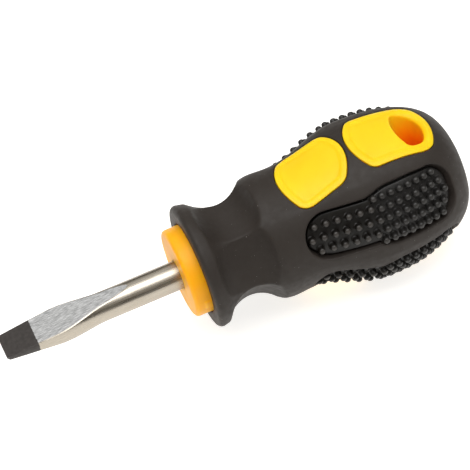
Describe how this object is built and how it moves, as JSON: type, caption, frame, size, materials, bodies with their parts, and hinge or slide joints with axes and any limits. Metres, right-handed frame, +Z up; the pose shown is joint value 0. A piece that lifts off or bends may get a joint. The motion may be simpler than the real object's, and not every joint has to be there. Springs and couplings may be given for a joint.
{
  "type": "screwdriver",
  "caption": "Stubby slotted screwdriver: ground steel blade in a yellow core with a dark rubber sleeve, studded grip pads and a hang hole.",
  "frame": {"origin": "centre of the blade tip's end face", "axes": "+X along the tool's axis from the tip to the butt, +Z along the hang hole and square to the flats of the blade, +Y to the right of a user who looks from the butt to the tip with +Z up"},
  "size_m": [0.0994, 0.0334, 0.0324],
  "materials": {
    "blade_steel": "bright plated shank, ground satin flats, matt black oxide on the last 6.8 mm of the tip",
    "core_plastic": "moulded yellow hard plastic, semi-gloss",
    "sleeve_rubber": "matt dark grey soft-touch rubber",
    "pad_rubber": "black rubber, slightly glossier than the sleeve"
  },
  "bodies": {
    "root": {"blade": "blade_steel", "handle_core": "core_plastic", "grip_sleeve": "sleeve_rubber", "grip_pad_left_upper": "pad_rubber", "grip_pad_left_lower": "pad_rubber", "grip_pad_right_lower": "pad_rubber", "grip_pad_right_upper": "pad_rubber"}
  },
  "joints": []
}
